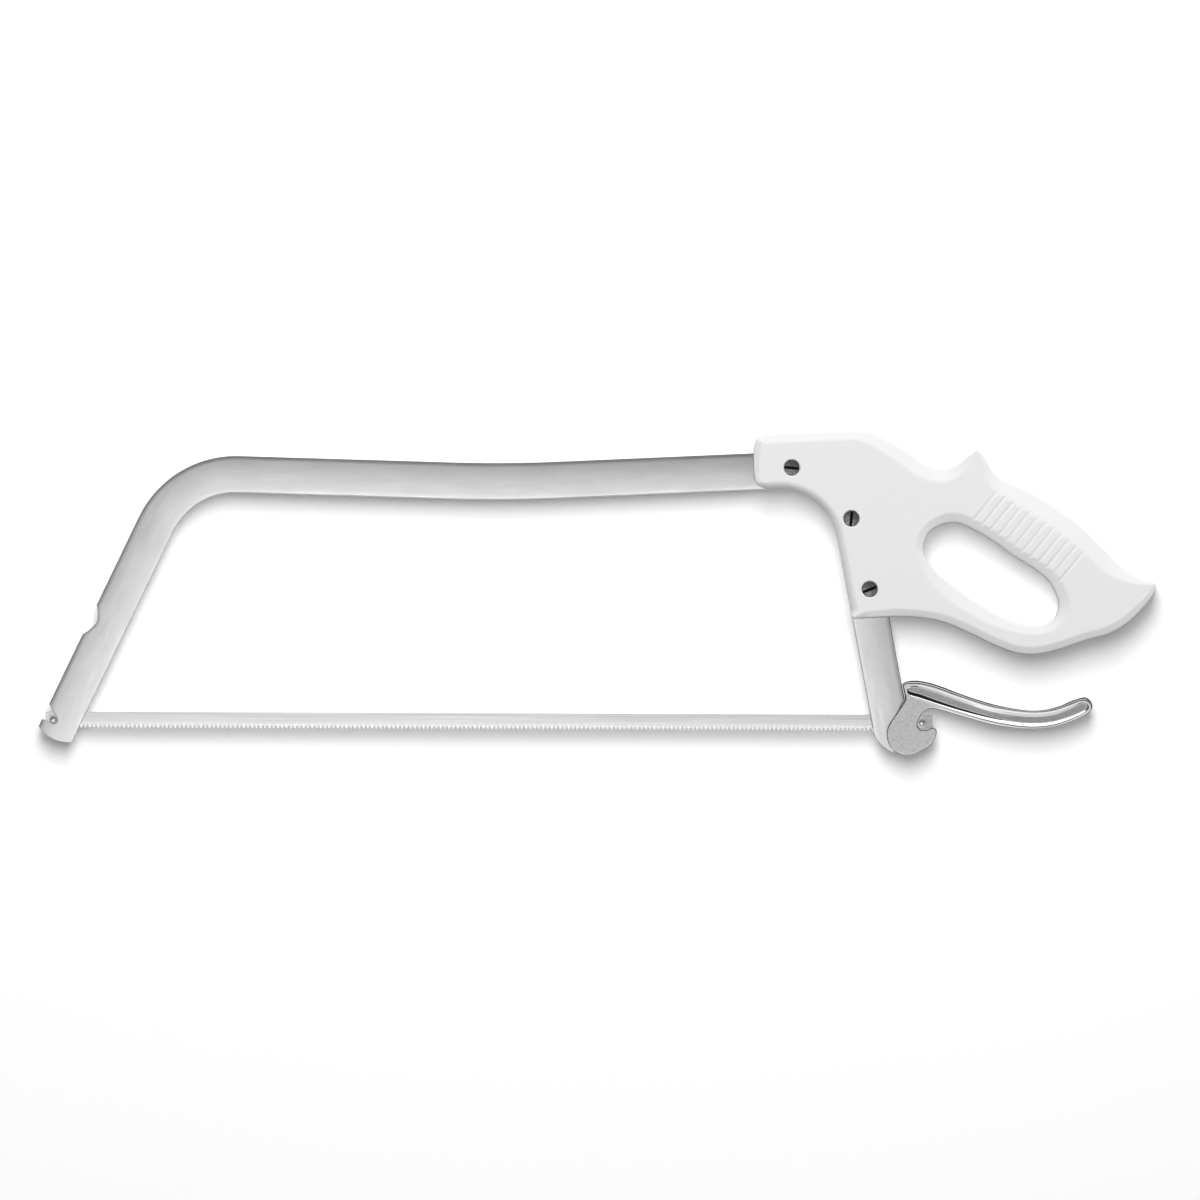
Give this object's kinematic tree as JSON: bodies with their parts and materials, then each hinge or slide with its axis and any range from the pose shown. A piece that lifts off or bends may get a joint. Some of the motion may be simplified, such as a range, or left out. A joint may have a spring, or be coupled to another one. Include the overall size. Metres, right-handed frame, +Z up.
{
  "type": "butcher saw",
  "caption": "Bow-framed butcher saw with a thin toothed blade hung on cross pins, a hooked lever that tensions it and a two-part white moulded grip.",
  "frame": {"origin": "middle of the footprint, on the surface that the saw lies on", "axes": "+X along the blade towards the handle, +Y from the blade towards the top bar, +Z up out of the saw's side"},
  "size_m": [0.6526, 0.1898, 0.026],
  "materials": {
    "brushed_stainless": "brushed along the bar",
    "white_polypropylene": "satin moulded",
    "dark_steel": "dark turned",
    "blade_steel": "bright ground",
    "nickel_plate": "polished plating"
  },
  "bodies": {
    "frame": {"bow_frame": "brushed_stainless", "handle_front_half": "white_polypropylene", "handle_rear_half": "white_polypropylene", "handle_screw_bar": "dark_steel", "handle_screw_bend": "dark_steel", "handle_screw_leg": "dark_steel", "handle_sleeve_nut_bar": "dark_steel", "handle_sleeve_nut_bend": "dark_steel", "handle_sleeve_nut_leg": "dark_steel"},
    "blade": {"saw_blade": "blade_steel", "blade_pin_front": "blade_steel", "blade_pin_rear": "blade_steel"},
    "lever": {"tension_lever": "nickel_plate"}
  },
  "joints": [
    {"name": "lever_pivot", "type": "hinge", "parent": "frame", "child": "lever", "pos_m": [0.18089, -0.0791, 0.013], "axis": [0, 0, -1], "range_deg": [0, 75]},
    {"name": "blade_slack", "type": "hinge", "parent": "frame", "child": "blade", "pos_m": [-0.31761, -0.0758, 0.013], "axis": [0, 0, -1], "range_deg": [0, 1.45]}
  ],
  "couplings": [
    {"joint": "blade_slack", "follows": "lever_pivot", "ratio": 0.0193}
  ]
}
